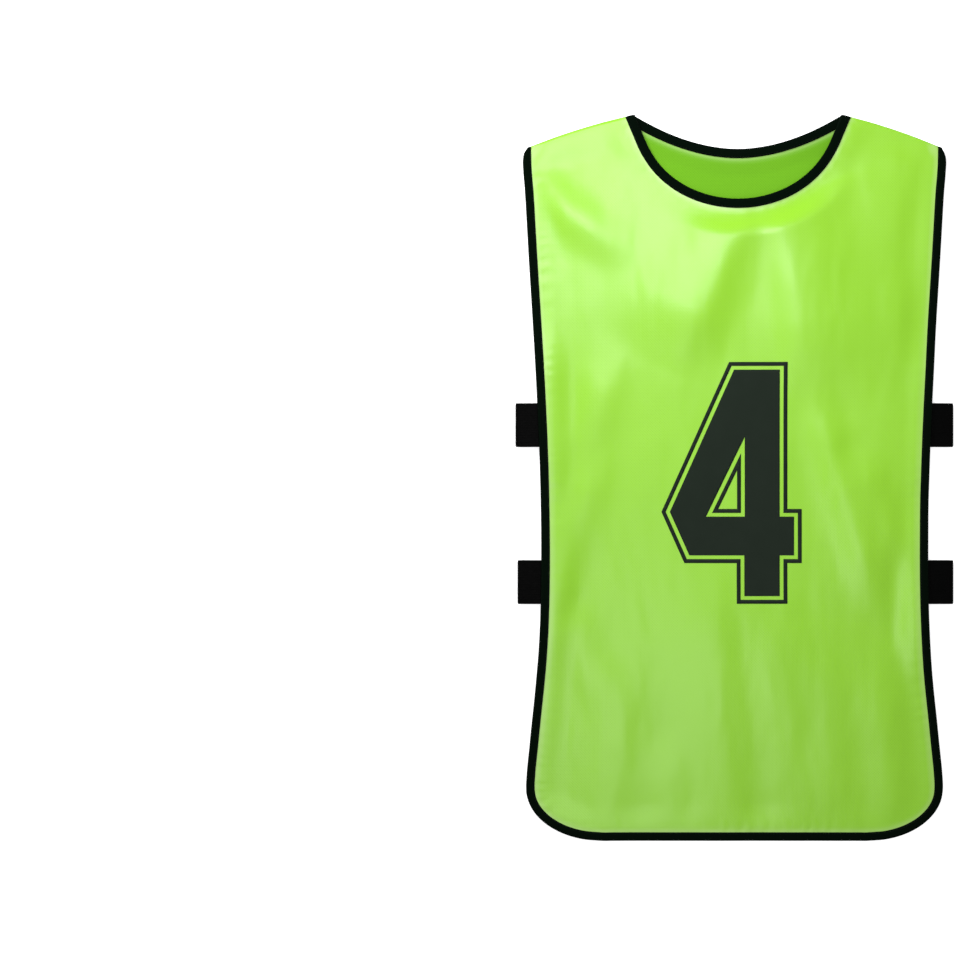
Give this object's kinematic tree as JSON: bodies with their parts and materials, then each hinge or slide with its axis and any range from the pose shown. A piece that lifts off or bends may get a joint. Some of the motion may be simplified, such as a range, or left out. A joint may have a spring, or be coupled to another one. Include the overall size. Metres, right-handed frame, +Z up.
{
  "type": "mesh training bib",
  "caption": "Sleeveless sports training bib of lime mesh cloth, lying flat, with black bound edges, elastic side straps and a printed outline number.",
  "frame": {"origin": "on the table, under the middle of the bib's outline", "axes": "+Y from the hem to the shoulders, +Z up off the table out of the front panel, +X to the right seen from above"},
  "size_m": [0.423, 0.7, 0.0122],
  "materials": {
    "lime_mesh": "satin warp-knit polyester",
    "black_tape": "matt polyester binding tape",
    "black_elastic": "matt woven elastic"
  },
  "bodies": {
    "root": {"front_panel": "lime_mesh", "back_panel": "lime_mesh", "front_edge_binding": "black_tape", "back_edge_binding": "black_tape", "front_neck_binding": "black_tape", "back_neck_binding": "black_tape", "upper_left_elastic": "black_elastic", "upper_right_elastic": "black_elastic", "lower_left_elastic": "black_elastic", "lower_right_elastic": "black_elastic"}
  },
  "joints": []
}
